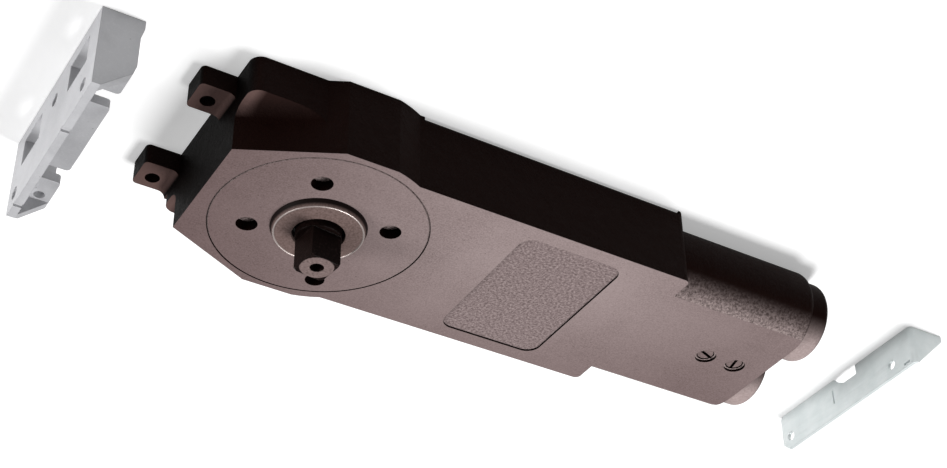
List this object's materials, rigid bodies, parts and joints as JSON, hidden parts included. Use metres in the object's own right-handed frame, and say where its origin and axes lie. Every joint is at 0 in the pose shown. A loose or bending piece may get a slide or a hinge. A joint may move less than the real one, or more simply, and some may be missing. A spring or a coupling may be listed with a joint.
{
  "type": "concealed overhead door closer",
  "caption": "Concealed overhead door closer: long iron casing with a round cap and squared spindle, twin spring tubes with end plugs, valves, mounting lugs, and loose header clips.",
  "frame": {"origin": "where the spindle axis meets the casing's flat back", "axes": "+Z along the spindle, out of the squared tip; +X along the spring tubes, towards the end plugs; +Y completes a right-handed frame"},
  "size_m": [0.4138, 0.116, 0.0545],
  "materials": {
    "iron": "cast and machined, thin brown-grey paint",
    "steel": "ground",
    "spring_steel": "drawn wire",
    "rubber": "moulded",
    "copper": null,
    "clip_casting": null,
    "clip_sheet": "zinc plated sheet"
  },
  "bodies": {
    "casing": {"casing": "iron", "cap": "iron", "cap_o_ring": "rubber", "seal_collar": "iron", "spindle_seal": "rubber", "upper_bearing": "steel", "lower_bearing": "steel", "spring_a": "spring_steel", "spring_b": "spring_steel", "end_plug_a": "iron", "end_plug_b": "iron", "plug_o_rings": "rubber", "fill_plug": "steel", "fill_washer": "copper"},
    "spindle": {"spindle": "steel", "cam": "steel", "cam_key": "steel"},
    "follower": {"yoke": "steel", "roller_pin": "steel", "piston_a": "steel", "piston_b": "steel", "piston_seals": "rubber", "check_balls": "steel"},
    "roller": {"cam_roller": "steel"},
    "sweep_valve": {"sweep_valve": "steel", "sweep_valve_ring": "rubber"},
    "latch_valve": {"latch_valve": "steel", "latch_valve_ring": "rubber"},
    "main_clip": {"main_clip": "clip_casting"},
    "end_clip": {"end_clip": "clip_sheet"}
  },
  "joints": [
    {"name": "spindle_turn", "type": "hinge", "parent": "casing", "child": "spindle", "pos_m": [0, 0, 0.0178], "axis": [0, 0, 1], "range_deg": [0, 105], "stiffness_Nm_per_rad": 0.4, "springref_deg": -14.32},
    {"name": "piston_slide", "type": "slide", "parent": "casing", "child": "follower", "axis": [1, 0, 0], "range_m": [0, 0.0166], "deforming": ["spring_a", "spring_b"]},
    {"name": "roller_spin", "type": "hinge", "parent": "follower", "child": "roller", "pos_m": [0.018, 0, 0.01775], "axis": [0, 0, 1], "continuous": true},
    {"name": "sweep_valve_turn", "type": "hinge", "parent": "casing", "child": "sweep_valve", "pos_m": [0.186, 0, 0.0252], "axis": [0, 0, 1], "range_deg": [-360, 360]},
    {"name": "latch_valve_turn", "type": "hinge", "parent": "casing", "child": "latch_valve", "pos_m": [0.2014, 0, 0.0252], "axis": [0, 0, 1], "range_deg": [-360, 360]},
    {"name": "main_clip_slide", "type": "slide", "parent": "casing", "child": "main_clip", "axis": [1, 0, 0], "range_m": [0, 0.0382]},
    {"name": "end_clip_slide", "type": "slide", "parent": "casing", "child": "end_clip", "axis": [-0.9274, 0.352, 0.1263], "range_m": [0, 0.0653]}
  ],
  "couplings": [
    {"joint": "piston_slide", "follows": "spindle_turn", "m_per_rad": 0.009}
  ]
}
